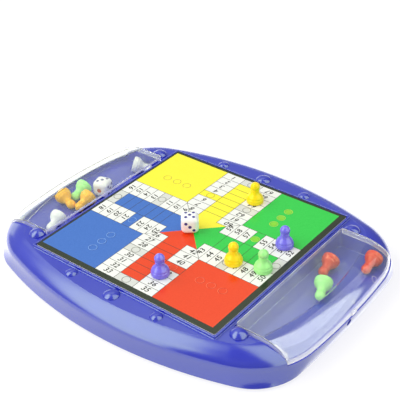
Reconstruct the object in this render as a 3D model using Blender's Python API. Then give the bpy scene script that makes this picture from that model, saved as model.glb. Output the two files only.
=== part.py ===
"""Board race game in a moulded case, with two lidded compartments, pawns and dice.

Metres, +Z up. The origin lies on the floor under the middle of the case. The front of the case faces
-Y, and the two compartments lie at -X and +X. Every length is a named value, and what fits in or on
another piece takes its size from that piece's values and a clearance.
"""
import math

import bmesh
import bpy
from mathutils import Matrix, Vector

# Clearances
FIT_GAP = 0.0003          # between pieces that touch
LID_GAP = 0.0005          # round a lid in its opening
OVERRUN = 0.006           # how far a cutter passes the surface that it cuts

# Printed board card
CARD_SIDE = 0.172
CARD_THICKNESS = 0.0015
CARD_CORNER = 0.0012
CARD_TOP = 0.027          # height of the printed face above the floor

# Case: wall, feet, ridge round the card and flat bezel
WALL = 0.002
FOOT_HEIGHT = 0.0015
EDGE_ROUND = 0.0008       # bottom edge of the case
RIDGE_GAP = 0.0007        # from the card's edge to the ridge
RIDGE_WIDTH = 0.0013
RIDGE_PROUD = 0.0002      # ridge top above the card's face
RIDGE_CORNER = 0.0012
RIDGE_FOOT = 0.0009       # sloping foot between the ridge and the bezel
BEZEL_DROP = 0.0021       # from the card's face down to the bezel
BEZEL_WIDTH = 0.0168      # from the card's edge to the crease, front and back
TRAY_MARGIN = 0.0017      # from the ridge to the compartment
TRAY_REACH = 0.0353       # from the compartment's inner edge to the crease
CREASE_FRONT_RADIUS = 0.280
CREASE_SIDE_RADIUS = 0.215
CREASE_CORNER = 0.027

# Case: rounded shoulder from the crease to the rim, then the side wall down to the base
SHOULDER_FRONT = 0.0118
SHOULDER_SIDE = 0.0186
SHOULDER_START = math.radians(14)
RIM_HEIGHT = 0.0130       # rim above the bottom edge
RIM_FRONT_RADIUS = 0.320
RIM_SIDE_RADIUS = 0.560
RIM_CORNER = 0.058
BASE_FLARE_FRONT = 0.0008
BASE_TUCK_SIDE = 0.0030
BASE_FRONT_RADIUS = 0.344
BASE_SIDE_RADIUS = 1.100
BASE_CORNER = 0.042
WALL_BULGE_SHARE = 0.72   # how far the wall has come out at half its height

# Compartments
TRAY_DEPTH = 0.0157       # from the bezel down to the compartment's floor
TRAY_FLOOR = 0.0018
TRAY_CORNER = 0.0030
DIMPLE_RADIUS = 0.0026    # blind dimple in the outer wall under the lid's rim
DIMPLE_DEPTH = 0.0016     # from the rim's line inwards
DIMPLE_DROP = 0.0030      # centre below the ledge
DIMPLE_SHIFT = 0.0055     # centre in front of the compartment's middle

# Clear lids
LID_LENGTH = 0.140
LID_THICKNESS = 0.0012
LID_INSET = 0.0016        # from the compartment's inner edge to the lid
LID_CORNER = 0.0032
LID_PROUD = 0.0031        # lid's flat top above the bezel
LID_RIM_INSET = 0.0011    # lid's rim inside the case's rim
LID_RIM_RISE = 0.0026     # top of the lid's rim above the wall's ledge
LID_START = math.radians(12)
LID_END_DEPTH = 0.0050    # depth of the end walls
LID_DRAFT = 0.0004
GRIP_WIDTH = 0.0060       # grip rib on the lid's rim
GRIP_PROUD = 0.0009
GRIP_SHIFT = 0.0015       # behind the lid's middle
LEDGE_DROP = 0.0003       # from the case's rim down to the ledge

# Hinges
PIN_RADIUS = 0.0010
PIN_LENGTH = 0.0030
PIN_INSET = 0.0034        # from the lid's inner edge to the pin's axis
PIN_RISE = 0.0011         # axis above the bezel
BOSS_RADIUS = 0.0072
BOSS_HEIGHT = 0.0038
BOSS_SHIFT = 0.0025       # boss centre outside the pin's axis
BOSS_SETBACK = 0.0034     # boss centre behind the compartment's end
POST_RADIUS = 0.0050
POST_DEPTH = 0.0070

# Small domes on the bezel
DOME_SMALL_RADIUS = 0.0048
DOME_LARGE_RADIUS = 0.0064
DOME_SMALL_HEIGHT = 0.0020
DOME_LARGE_HEIGHT = 0.0024
DOME_SPACING = 0.0412
DOME_SMALL_SETBACK = 0.0055   # dome centres outside the ridge
DOME_LARGE_SETBACK = 0.0066

# Bottom cover and screws
COVER_THICKNESS = 0.0024
COVER_GAP = 0.0004
FOOT_RADIUS = 0.0080
SCREW_RADIUS = 0.00115
SCREW_LENGTH = 0.0090
SCREW_HEAD_RADIUS = 0.0025
SCREW_HEAD_HEIGHT = 0.0011
SCREW_BOSS_RADIUS = 0.0036
SCREW_CORNER_INSET = 0.0205
SCREW_MIDDLE_INSET = 0.0090

# Playing pieces
PAWN_RADIUS = 0.0070
PAWN_HEIGHT = 0.0182
PAWN_HEAD_RADIUS = 0.0039
PAWN_HOLLOW_DEPTH = 0.0022
DIE_SIDE = 0.0140
DIE_ROUND = 0.0030

# Skirt of a pawn from its foot to the neck ring: shares of its radius and of its height
PAWN_SKIRT_SHARES = (
    (0.94, 0.00), (1.00, 0.03), (1.00, 0.20), (0.95, 0.235), (0.88, 0.26), (0.88, 0.30), (0.76, 0.365),
    (0.58, 0.45), (0.47, 0.53), (0.45, 0.575), (0.50, 0.595), (0.50, 0.635), (0.44, 0.6545),
)
PAWN_HOLLOW_SHARE = 0.80
PAWN_RIM_SHARE = 0.20     # height of the rim that a lying pawn rests on

# Standing pieces, as shares of the card's side from its middle
BOARD_PAWN_SHARES = {
    "pawn_yellow_rear": (0.090, 0.351),
    "pawn_yellow_front": (0.288, -0.088),
    "pawn_green_board": (0.420, -0.055),
    "pawn_violet_right": (0.397, 0.142),
    "pawn_violet_left": (0.087, -0.337),
}
BOARD_DIE_SHARES = (-0.015, -0.008)
BOARD_DIE_TURN = math.radians(39)

# Lying pieces: side, share of the compartment's width, which end the place is measured from (0 is the
# middle and 1 the rear end), shares of a pawn's height from there, and heading of the head in degrees
TRAY_PAWN_SHARES = {
    "pawn_red_inner": (1, 0.187, 0, 2.385, -86),
    "pawn_green_right": (1, 0.360, 0, 0.956, -70),
    "pawn_red_outer": (1, 0.750, 1, -0.286, -88),
    "pawn_white_front": (-1, 0.399, 0, -2.110, -78),
    "pawn_orange_outer": (-1, 0.808, 0, -0.835, -12),
    "pawn_orange_inner": (-1, 0.399, 0, -0.132, -87),
    "pawn_green_left": (-1, 0.674, 0, 0.374, -86),
    "pawn_white_rear": (-1, 0.516, 1, -0.720, 30),
}
TRAY_DIE_SHARES = (-1, 0.423, 0, 0.802)
TRAY_DIE_TURN = math.radians(16)

# Fineness of the round shapes
ARC_STEPS = 6
CORNER_STEPS = 8
SHOULDER_STEPS = 5
TURN_STEPS = 16
PAWN_STEPS = 14
BORE_STEPS = 10
LID_STEPS = 12

# Heights and places that follow from the sizes above
bezel_z = CARD_TOP - BEZEL_DROP
base_z = FOOT_HEIGHT
rim_z = base_z + RIM_HEIGHT
ledge_z = rim_z - LEDGE_DROP
tray_z = bezel_z - TRAY_DEPTH
cover_z = base_z + COVER_THICKNESS
recess_half = CARD_SIDE / 2 + RIDGE_GAP
ridge_half = recess_half + RIDGE_WIDTH
tray_x = ridge_half + TRAY_MARGIN
tray_half = LID_LENGTH / 2 + LID_GAP
crease_half_x = tray_x + TRAY_REACH
crease_half_y = CARD_SIDE / 2 + BEZEL_WIDTH
rim_half_x = crease_half_x + SHOULDER_SIDE
rim_half_y = crease_half_y + SHOULDER_FRONT
pin_x = tray_x + LID_INSET + PIN_INSET
pin_z = bezel_z + PIN_RISE
boss_x = pin_x + BOSS_SHIFT
boss_y = tray_half + BOSS_SETBACK


def clear_scene():
    """Empty the file, so that only this model is in it."""
    for thing in list(bpy.data.objects):
        bpy.data.objects.remove(thing, do_unlink=True)


def plastic(name, colour, roughness, alpha=1.0, transmission=0.0):
    """A plain plastic with its colour, roughness and clearness."""
    material = bpy.data.materials.new(name)
    material.use_nodes = True
    shader = material.node_tree.nodes["Principled BSDF"]
    shader.inputs["Base Color"].default_value = (*colour, 1.0)
    shader.inputs["Roughness"].default_value = roughness
    shader.inputs["Metallic"].default_value = 0.0
    shader.inputs["Alpha"].default_value = alpha
    shader.inputs["Transmission Weight"].default_value = transmission
    material.diffuse_color = (*colour, alpha)
    return material


def add_object(name, mesh, material=None):
    """Link a mesh to the scene under a name, with its material on the object."""
    thing = bpy.data.objects.new(name, mesh)
    bpy.context.scene.collection.objects.link(thing)
    if material is not None:
        if not mesh.materials:
            mesh.materials.append(None)
        thing.material_slots[0].link = "OBJECT"
        thing.material_slots[0].material = material
    return thing


def mesh_from(name, bm):
    """Turn a closed bmesh into a mesh whose faces point out."""
    bmesh.ops.recalc_face_normals(bm, faces=bm.faces)
    mesh = bpy.data.meshes.new(name)
    bm.to_mesh(mesh)
    bm.free()
    return mesh


def loft(name, rings):
    """A closed solid through rings that all have the same number of points."""
    bm = bmesh.new()
    rows = [[bm.verts.new(point) for point in ring] for ring in rings]
    for lower, upper in zip(rows, rows[1:]):
        count = len(lower)
        for index in range(count):
            follow = (index + 1) % count
            bm.faces.new((lower[index], lower[follow], upper[follow], upper[index]))
    bm.faces.new(rows[0])
    bm.faces.new(rows[-1])
    return add_object(name, mesh_from(name, bm))


def turned(name, profile, steps=TURN_STEPS):
    """A solid turned about Z from a profile of radius and height, with flat or pointed ends."""
    bm = bmesh.new()
    rings = []
    for radius, height in profile:
        turns = [math.tau * step / steps for step in range(steps if radius else 1)]
        rings.append([bm.verts.new((radius * math.cos(t), radius * math.sin(t), height)) for t in turns])
    for lower, upper in zip(rings, rings[1:]):
        for index in range(steps):
            follow = (index + 1) % steps
            corners = [lower[index % len(lower)], lower[follow % len(lower)],
                       upper[follow % len(upper)], upper[index % len(upper)]]
            bm.faces.new(list(dict.fromkeys(corners)))
    for ring in (rings[0], rings[-1]):
        if len(ring) > 1:
            bm.faces.new(ring)
    return add_object(name, mesh_from(name, bm))


def box(name, low, high):
    """A box between two opposite corners."""
    rings = [[(low[0], low[1], z), (high[0], low[1], z), (high[0], high[1], z), (low[0], high[1], z)]
             for z in (low[2], high[2])]
    return loft(name, rings)


def rounded_rectangle(low, high, radius):
    """Points round a rectangle with round corners, in plan."""
    centres = ((high[0] - radius, high[1] - radius, 0), (low[0] + radius, high[1] - radius, 1),
               (low[0] + radius, low[1] + radius, 2), (high[0] - radius, low[1] + radius, 3))
    points = []
    for x, y, quarter in centres:
        for step in range(ARC_STEPS - 1):
            turn = math.pi / 2 * (quarter + step / (ARC_STEPS - 2))
            points.append((x + radius * math.cos(turn), y + radius * math.sin(turn)))
    return points


def at_height(points, z):
    """Lift a plan outline to a height."""
    return [(x, y, z) for x, y in points]


def cylinder(name, radius, low, high, place=(0, 0), steps=TURN_STEPS):
    """An upright cylinder between two heights."""
    thing = turned(name, ((radius, low), (radius, high)), steps)
    move(thing, Matrix.Translation((place[0], place[1], 0)))
    return thing


def move(thing, matrix):
    """Move an object's mesh, so that its origin stays where it is."""
    thing.data.transform(matrix)


def boolean(target, tool, operation):
    """Cut, join or cross a solid with another, and take the other away."""
    tool.hide_render = True
    tool.display_type = "WIRE"
    step = target.modifiers.new(operation.lower(), "BOOLEAN")
    step.operation = operation
    step.object = tool
    step.solver = "EXACT"
    graph = bpy.context.evaluated_depsgraph_get()
    mesh = bpy.data.meshes.new_from_object(target.evaluated_get(graph))
    target.modifiers.clear()
    target.data = mesh
    bpy.data.objects.remove(tool, do_unlink=True)


def cut(target, tool):
    boolean(target, tool, "DIFFERENCE")


def join(target, tool):
    boolean(target, tool, "UNION")


def both_sides(make):
    """Make a tool for the right side, and the same tool turned half round for the left side."""
    tools = []
    for turn in (0, math.pi):
        tool = make()
        move(tool, Matrix.Rotation(turn, 4, "Z"))
        tools.append(tool)
    return tools


def arc(centre, radius, start, end, steps):
    """Points along an arc, without its last one."""
    turns = (start + (end - start) * step / steps for step in range(steps))
    return [(centre.x + radius * math.cos(t), centre.y + radius * math.sin(t)) for t in turns]


def barrel(half_x, half_y, front_radius, side_radius, corner_radius):
    """Outline with bowed sides: front, corner and side arcs that meet smoothly, in each quarter."""
    front = Vector((0, half_y - front_radius))
    side = Vector((half_x - side_radius, 0))
    to_front = front_radius - corner_radius
    to_side = side_radius - corner_radius
    span = side - front
    along = (to_front ** 2 - to_side ** 2 + span.length_squared) / (2 * span.length)
    across = math.sqrt(to_front ** 2 - along ** 2)
    unit = span.normalized()
    normal = Vector((-unit.y, unit.x))
    corner = max((front + unit * along + normal * reach for reach in (across, -across)), key=sum)
    front_turn = math.atan2(corner.y - front.y, corner.x - front.x)
    side_turn = math.atan2(corner.y - side.y, corner.x - side.x)
    quarter = arc(front, front_radius, math.pi / 2, front_turn, ARC_STEPS)
    quarter += arc(corner, corner_radius, front_turn, side_turn, CORNER_STEPS)
    quarter += arc(side, side_radius, side_turn, 0, ARC_STEPS)
    mirrored = [(half_x, 0)] + quarter[:0:-1]
    points = list(quarter)
    points += [(x, -y) for x, y in mirrored]
    points += [(-x, -y) for x, y in quarter]
    points += [(-x, y) for x, y in mirrored]
    return points


def crease_outline(inset=0):
    return barrel(crease_half_x - inset, crease_half_y - inset, CREASE_FRONT_RADIUS - inset,
                  CREASE_SIDE_RADIUS - inset, CREASE_CORNER - inset)


def rim_outline(inset=0):
    return barrel(rim_half_x - inset, rim_half_y - inset, RIM_FRONT_RADIUS - inset,
                  RIM_SIDE_RADIUS - inset, RIM_CORNER - inset)


def base_outline(inset=0):
    return barrel(rim_half_x - BASE_TUCK_SIDE - inset, rim_half_y + BASE_FLARE_FRONT - inset,
                  BASE_FRONT_RADIUS - inset, BASE_SIDE_RADIUS - inset, BASE_CORNER - inset)


def between(first, second, share):
    """Outline part of the way from one outline to another."""
    return [(x0 + (x1 - x0) * share, y0 + (y1 - y0) * share)
            for (x0, y0), (x1, y1) in zip(first, second)]


def outline_x(points, y):
    """Where an outline's right side lies at a distance from the middle line."""
    right = [point for point in points if point[0] > 0]
    for (x0, y0), (x1, y1) in zip(right, right[1:]):
        if (y0 - y) * (y1 - y) <= 0 and y0 != y1:
            return x0 + (x1 - x0) * (y - y0) / (y1 - y0)
    return max(point[0] for point in right)


def shoulder_shares(start, steps):
    """Quarter of an oval that starts with a slope: shares of the way out and of the height left."""
    shares = []
    for step in range(steps + 1):
        turn = start + (math.pi / 2 - start) * step / steps
        out = (math.sin(turn) - math.sin(start)) / (1 - math.sin(start))
        shares.append((out, math.cos(turn) / math.cos(start)))
    return shares


def wall_rings(inset, low):
    """Rings of the side wall from a low height up to the rim."""
    base = base_outline(inset)
    rim = rim_outline(inset)
    rings = []
    for share in (0, 0.5):
        z = low + (rim_z - low) * share
        out = 2 * share * WALL_BULGE_SHARE
        rings.append(at_height(between(base, rim, out), z))
    return rings


def shoulder_rings(inset):
    """Rings from the rim up over the shoulder to the crease."""
    rim = rim_outline(inset)
    crease = crease_outline(inset)
    top = bezel_z - inset
    rings = []
    for out, height in reversed(shoulder_shares(SHOULDER_START, SHOULDER_STEPS)):
        rings.append(at_height(between(crease, rim, out), rim_z + (top - rim_z) * height))
    return rings


def case_solid():
    """Outer form of the case as one solid."""
    rings = [at_height(base_outline(EDGE_ROUND), base_z)]
    rings += wall_rings(0, base_z + EDGE_ROUND)
    rings += shoulder_rings(0)
    return loft("top_case", rings)


def dome(name, radius, height, place):
    """A low dome that stands on the bezel."""
    steps = 4
    profile = [(radius, -WALL / 2)]
    turns = [math.pi / 2 * step / steps for step in range(steps)]
    profile += [(radius * math.cos(turn), height * math.sin(turn)) for turn in turns]
    profile.append((0, height))
    thing = turned(name, profile)
    move(thing, Matrix.Translation((place[0], place[1], bezel_z)))
    return thing


def hinge_places():
    """The four boss centres, one at each end of each lid."""
    return [(sx * boss_x, sy * boss_y) for sx in (1, -1) for sy in (1, -1)]


def screw_places():
    """Four screws near the case's corners and one in the middle of its front and back."""
    corner_x = crease_half_x - SCREW_CORNER_INSET
    corner_y = crease_half_y - SCREW_CORNER_INSET
    middle_y = crease_half_y - SCREW_MIDDLE_INSET
    places = [(sx * corner_x, sy * corner_y) for sx in (1, -1) for sy in (1, -1)]
    return places + [(0, middle_y), (0, -middle_y)]


def foot_places():
    """Four feet under the ends of the compartments."""
    x = tray_x + FOOT_RADIUS
    y = tray_half - FOOT_RADIUS
    return [(sx * x, sy * y) for sx in (1, -1) for sy in (1, -1)]


def add_domes(case):
    """Three domes on the front bezel and three on the back one, and a boss over each hinge pin."""
    small_y = ridge_half + DOME_SMALL_SETBACK
    large_y = ridge_half + DOME_LARGE_SETBACK
    for sy in (1, -1):
        join(case, dome("dome_large", DOME_LARGE_RADIUS, DOME_LARGE_HEIGHT, (0, sy * large_y)))
        for sx in (1, -1):
            place = (sx * DOME_SPACING, sy * small_y)
            join(case, dome("dome_small", DOME_SMALL_RADIUS, DOME_SMALL_HEIGHT, place))
    for place in hinge_places():
        join(case, dome("hinge_boss", BOSS_RADIUS, BOSS_HEIGHT, place))


def cavity():
    """Hollow of the case, without what stands in it: compartments, hinge posts and screw bosses."""
    rings = [at_height(base_outline(WALL), base_z - OVERRUN)]
    rings += wall_rings(WALL, cover_z) + shoulder_rings(WALL)
    hollow = loft("cavity", rings)
    floor = tray_z - TRAY_FLOOR
    top = bezel_z + OVERRUN

    def block():
        low = (tray_x - WALL, -tray_half - WALL, floor)
        return box("tray_block", low, (rim_half_x + OVERRUN, tray_half + WALL, top))

    for tool in both_sides(block):
        cut(hollow, tool)
    for place in hinge_places():
        cut(hollow, cylinder("post", POST_RADIUS, bezel_z - POST_DEPTH, top, place))
    for place in screw_places():
        cut(hollow, cylinder("screw_boss", SCREW_BOSS_RADIUS, cover_z + FIT_GAP, top, place))
    return hollow


def tray_opening():
    """Space of a compartment: its outer wall follows the case's own, and ends in a ledge for the lid."""
    top = bezel_z + BOSS_HEIGHT + OVERRUN
    base = base_outline(WALL)
    rim = rim_outline(WALL)
    clear = rim_outline(-OVERRUN)
    out = WALL_BULGE_SHARE + (1 - WALL_BULGE_SHARE) * (tray_z - base_z) / (rim_z - base_z)
    rings = [at_height(between(base, rim, out), tray_z), at_height(rim, ledge_z)]
    rings += [at_height(clear, ledge_z), at_height(clear, top)]
    space = loft("tray_opening", rings)
    plan = rounded_rectangle((tray_x, -tray_half), (rim_half_x + 2 * OVERRUN, tray_half), TRAY_CORNER)
    limits = loft("tray_limits", [at_height(plan, tray_z - OVERRUN), at_height(plan, top + OVERRUN)])
    boolean(space, limits, "INTERSECT")
    return space


def dimple():
    """Blind round dimple in the outer wall, under the lid's rim."""
    thing = cylinder("dimple", DIMPLE_RADIUS, rim_half_x - DIMPLE_DEPTH, rim_half_x + OVERRUN)
    place = Matrix.Translation((0, -DIMPLE_SHIFT, ledge_z - DIMPLE_DROP))
    move(thing, place @ Matrix.Rotation(math.pi / 2, 4, "Y"))
    return thing


def pin_hole(place):
    """Blind hole for a lid's pin, sunk into its boss from the compartment's end."""
    sx = math.copysign(1, place[0])
    sy = math.copysign(1, place[1])
    radius = PIN_RADIUS + FIT_GAP
    depth = PIN_LENGTH + FIT_GAP
    thing = cylinder("pin_hole", radius, -OVERRUN, depth)
    turn = Matrix.Rotation(-sy * math.pi / 2, 4, "X")
    move(thing, Matrix.Translation((sx * pin_x, sy * tray_half, pin_z)) @ turn)
    return thing


def pilot_hole(place):
    """Blind hole that a case screw goes into."""
    top = base_z + SCREW_HEAD_HEIGHT + SCREW_LENGTH + 2 * FIT_GAP
    return cylinder("pilot", SCREW_RADIUS + FIT_GAP, base_z - OVERRUN, top, place, BORE_STEPS)


def make_top_case(material):
    """The moulded upper shell, with its ridge, bezel, shoulder, compartments and bosses."""
    case = case_solid()
    foot_half = ridge_half + RIDGE_FOOT
    plan = rounded_rectangle((-ridge_half, -ridge_half), (ridge_half, ridge_half), RIDGE_CORNER)
    foot = rounded_rectangle((-foot_half, -foot_half), (foot_half, foot_half), RIDGE_CORNER + RIDGE_FOOT)
    rings = [at_height(foot, bezel_z - WALL / 2), at_height(foot, bezel_z)]
    rings += [at_height(plan, bezel_z + RIDGE_FOOT), at_height(plan, CARD_TOP + RIDGE_PROUD)]
    join(case, loft("ridge", rings))
    add_domes(case)
    cut(case, cavity())
    seat_z = CARD_TOP - CARD_THICKNESS - FIT_GAP
    corner = (recess_half, recess_half, CARD_TOP + OVERRUN)
    cut(case, box("card_recess", (-recess_half, -recess_half, seat_z), corner))
    for tool in both_sides(tray_opening) + both_sides(dimple):
        cut(case, tool)
    for place in hinge_places():
        cut(case, pin_hole(place))
    for place in screw_places():
        cut(case, pilot_hole(place))
    finish(case, material)
    return case


def finish(thing, material):
    """Give a solid its material, and smooth shading with sharp edges."""
    mesh = thing.data
    mesh.materials.clear()
    mesh.materials.append(None)
    thing.material_slots[0].link = "OBJECT"
    thing.material_slots[0].material = material
    mesh.shade_smooth()
    mesh.set_sharp_from_angle(angle=math.radians(30))


def make_bottom_cover(material):
    """Plate that closes the case from below, with four moulded feet and six counterbored holes."""
    plan = base_outline(WALL + COVER_GAP)
    cover = loft("bottom_cover", [at_height(plan, base_z), at_height(plan, cover_z)])
    for place in foot_places():
        edge = FOOT_RADIUS - FOOT_HEIGHT / 2
        middle = (base_z + cover_z) / 2
        tool = turned("foot", ((edge, 0), (FOOT_RADIUS, FOOT_HEIGHT / 2), (FOOT_RADIUS, middle)))
        move(tool, Matrix.Translation((place[0], place[1], 0)))
        join(cover, tool)
    seat = base_z + SCREW_HEAD_HEIGHT + FIT_GAP
    for place in screw_places():
        bore = SCREW_HEAD_RADIUS + FIT_GAP
        shank = SCREW_RADIUS + FIT_GAP
        cut(cover, cylinder("bore", bore, base_z - OVERRUN, seat, place, BORE_STEPS))
        cut(cover, cylinder("hole", shank, base_z - OVERRUN, cover_z + OVERRUN, place, BORE_STEPS))
    finish(cover, material)
    return cover


def make_board_card(material):
    """The printed card, a thin square board with slightly round corners."""
    half = CARD_SIDE / 2
    plan = rounded_rectangle((-half, -half), (half, half), CARD_CORNER)
    card = loft("board_card", [at_height(plan, CARD_TOP - CARD_THICKNESS), at_height(plan, CARD_TOP)])
    finish(card, material)
    return card


def lid_stations():
    """Places along the lid, and how far its round corner draws the inner edge in at each."""
    straight = LID_LENGTH / 2 - LID_CORNER
    steps = 4
    corner = []
    for step in range(steps + 1):
        turn = math.pi / 2 * step / steps
        corner.append((straight + LID_CORNER * math.sin(turn), LID_CORNER - LID_CORNER * math.cos(turn)))
    middle = [(-straight + 2 * straight * step / LID_STEPS, 0) for step in range(1, LID_STEPS)]
    return [(-y, draw) for y, draw in reversed(corner)] + middle + corner


def lid_profile(y, draw, inset=0):
    """Section of a lid's skin: flat from the inner edge to the fold, then curved down to the rim."""
    top = bezel_z + LID_PROUD - inset
    rim_top = ledge_z + FIT_GAP + LID_RIM_RISE - inset
    inner = tray_x + LID_INSET + draw
    fold = outline_x(crease, y)
    rim = outline_x(rim_line, y) - LID_RIM_INSET - inset
    points = [(inner, top)]
    for out, height in shoulder_shares(LID_START, SHOULDER_STEPS + 1):
        points.append((fold + (rim - fold) * out, rim_top + (top - rim_top) * height))
    return points


def lid_block():
    """Outer form of a lid: its skin, and the end walls' depth below it."""
    rings = []
    low = ledge_z + FIT_GAP
    for y, draw in lid_stations():
        skin = lid_profile(y, draw)
        foot = (skin[-1][0] + LID_DRAFT, low)
        under = [(x, max(z - LID_END_DEPTH, low)) for x, z in reversed(skin[:-1])]
        rings.append([(x, y, z) for x, z in skin + [foot] + under])
    return loft("lid_right", rings)


def lid_hollow():
    """Space under a lid's skin, between its end walls."""
    rings = []
    limit = LID_LENGTH / 2 - LID_THICKNESS
    low = ledge_z - OVERRUN
    stations = [(y, draw) for y, draw in lid_stations() if abs(y) < limit]
    stations = [(-limit, stations[0][1])] + stations + [(limit, stations[-1][1])]
    for y, draw in stations:
        skin = lid_profile(y, draw, LID_THICKNESS)
        skin[0] = (skin[0][0] - OVERRUN, skin[0][1])
        rings.append([(x, y, z) for x, z in skin + [(skin[-1][0], low), (skin[0][0], low)]])
    return loft("lid_hollow", rings)


def make_lids(material):
    """Two clear lids from one mesh, each with its origin on its hinge axis."""
    right = lid_block()
    cut(right, lid_hollow())
    rim_x = rim_half_x - LID_RIM_INSET
    rim_low = ledge_z + FIT_GAP
    low = (rim_x - LID_THICKNESS / 2, GRIP_SHIFT - GRIP_WIDTH / 2, rim_low)
    high = (rim_x + GRIP_PROUD, GRIP_SHIFT + GRIP_WIDTH / 2, rim_low + LID_RIM_RISE)
    join(right, box("grip", low, high))
    for sy in (1, -1):
        pin = cylinder("pin", PIN_RADIUS, -LID_THICKNESS / 2, LID_GAP + PIN_LENGTH)
        turn = Matrix.Rotation(-sy * math.pi / 2, 4, "X")
        move(pin, Matrix.Translation((pin_x, sy * LID_LENGTH / 2, pin_z)) @ turn)
        join(right, pin)
    move(right, Matrix.Translation((-pin_x, 0, -pin_z)))
    finish(right, material)
    right.location = (pin_x, 0, pin_z)
    left = add_object("lid_left", right.data, material)
    left.location = (-pin_x, 0, pin_z)
    left.rotation_euler = (0, 0, math.pi)
    return right, left


def make_screws(material):
    """Six pan-head case screws from one mesh."""
    seat = base_z + SCREW_HEAD_HEIGHT
    tip = seat + SCREW_LENGTH
    edge = SCREW_HEAD_HEIGHT / 3
    profile = ((SCREW_HEAD_RADIUS - edge, base_z), (SCREW_HEAD_RADIUS, base_z + edge), (SCREW_HEAD_RADIUS, seat),
               (SCREW_RADIUS, seat), (SCREW_RADIUS, tip - SCREW_RADIUS), (0, tip))
    pattern = turned("case_screw_1", profile, BORE_STEPS)
    finish(pattern, material)
    for number, place in enumerate(screw_places(), 1):
        screw = pattern if number == 1 else add_object(f"case_screw_{number}", pattern.data, material)
        screw.location = (place[0], place[1], 0)


def pawn_mesh():
    """Turned pawn: hollow foot, flange, bell-shaped skirt, neck ring and round head."""
    hollow = PAWN_RADIUS * PAWN_HOLLOW_SHARE
    profile = [(hollow * PAWN_HOLLOW_SHARE, PAWN_HOLLOW_DEPTH), (hollow, 0)]
    profile += [(PAWN_RADIUS * across, PAWN_HEIGHT * up) for across, up in PAWN_SKIRT_SHARES]
    centre = PAWN_HEIGHT - PAWN_HEAD_RADIUS
    neck = profile[-1][0]
    start = -math.acos(neck / PAWN_HEAD_RADIUS)
    steps = 5
    for step in range(1, steps):
        turn = start + (math.pi / 2 - start) * step / steps
        profile.append((PAWN_HEAD_RADIUS * math.cos(turn), centre + PAWN_HEAD_RADIUS * math.sin(turn)))
    profile.append((0, PAWN_HEIGHT))
    thing = turned("pawn_pattern", profile, PAWN_STEPS)
    mesh = thing.data
    bpy.data.objects.remove(thing, do_unlink=True)
    mesh.shade_smooth()
    mesh.set_sharp_from_angle(angle=math.radians(40))
    return mesh


def lying_tilt():
    """How far a lying pawn's head dips, so that its flange and its head both meet the floor."""
    run = PAWN_HEIGHT * (1 - PAWN_RIM_SHARE) - PAWN_HEAD_RADIUS
    reach = math.hypot(PAWN_RADIUS, run)
    return math.acos(PAWN_HEAD_RADIUS / reach) - math.atan2(run, PAWN_RADIUS)


def tray_place(side, across, end, along):
    """A place on a compartment's floor, between its inner edge and its bowed outer wall."""
    y = tray_half * end + PAWN_HEIGHT * along
    width = outline_x(rim_line, y) - WALL - tray_x
    return side * (tray_x + width * across), y


def make_pawns(colours):
    """Five pawns stand on the board, and eight lie in the compartments."""
    mesh = pawn_mesh()
    for name, (share_x, share_y) in BOARD_PAWN_SHARES.items():
        pawn = add_object(name, mesh, colours[name.split("_")[1]])
        pawn.location = (CARD_SIDE * share_x, CARD_SIDE * share_y, CARD_TOP + FIT_GAP)
    tilt = lying_tilt()
    rim_height = PAWN_RADIUS * math.cos(tilt) + PAWN_HEIGHT * PAWN_RIM_SHARE * math.sin(tilt)
    for name, (*place_shares, heading) in TRAY_PAWN_SHARES.items():
        pawn = add_object(name, mesh, colours[name.split("_")[1]])
        x, y = tray_place(*place_shares)
        pawn.location = (x, y, tray_z + FIT_GAP + rim_height)
        pawn.rotation_euler = (0, math.pi / 2 + tilt, math.radians(heading))


def die_mesh():
    """Cube with well rounded edges and corners."""
    bm = bmesh.new()
    bmesh.ops.create_cube(bm, size=DIE_SIDE)
    bmesh.ops.bevel(bm, geom=bm.edges, offset=DIE_ROUND, segments=3, profile=0.5, affect="EDGES")
    mesh = mesh_from("die", bm)
    mesh.shade_smooth()
    mesh.set_sharp_from_angle(angle=math.radians(40))
    return mesh


def make_dice(material):
    """One die on the board and one in the left compartment."""
    mesh = die_mesh()
    half = DIE_SIDE / 2
    board = add_object("die_board", mesh, material)
    x, y = (CARD_SIDE * share for share in BOARD_DIE_SHARES)
    board.location = (x, y, CARD_TOP + FIT_GAP + half)
    board.rotation_euler = (0, 0, BOARD_DIE_TURN)
    x, y = tray_place(*TRAY_DIE_SHARES)
    tray = add_object("die_tray", mesh, material)
    tray.location = (x, y, tray_z + FIT_GAP + half)
    tray.rotation_euler = (0, 0, TRAY_DIE_TURN)


crease = crease_outline()
rim_line = rim_outline()

clear_scene()
case_plastic = plastic("case_plastic", (0.09, 0.10, 0.56), 0.22)
make_top_case(case_plastic)
make_bottom_cover(plastic("cover_plastic", (0.08, 0.09, 0.50), 0.35))
make_board_card(plastic("board_print", (0.85, 0.80, 0.62), 0.25))
make_lids(plastic("clear_plastic", (0.93, 0.95, 0.97), 0.05, alpha=0.35, transmission=1.0))
make_screws(plastic("screw_steel", (0.55, 0.55, 0.57), 0.35))
make_pawns({
    "yellow": plastic("pawn_yellow", (1.0, 0.66, 0.02), 0.25),
    "orange": plastic("pawn_orange", (1.0, 0.46, 0.05), 0.3),
    "green": plastic("pawn_green", (0.25, 0.92, 0.18), 0.25),
    "violet": plastic("pawn_violet", (0.16, 0.12, 0.75), 0.2),
    "red": plastic("pawn_red", (0.75, 0.04, 0.02), 0.25),
    "white": plastic("pawn_white", (0.85, 0.84, 0.78), 0.3),
})
make_dice(plastic("die_white", (0.88, 0.87, 0.82), 0.3))
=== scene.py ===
import math

import bpy
from mathutils import Matrix, Vector


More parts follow.
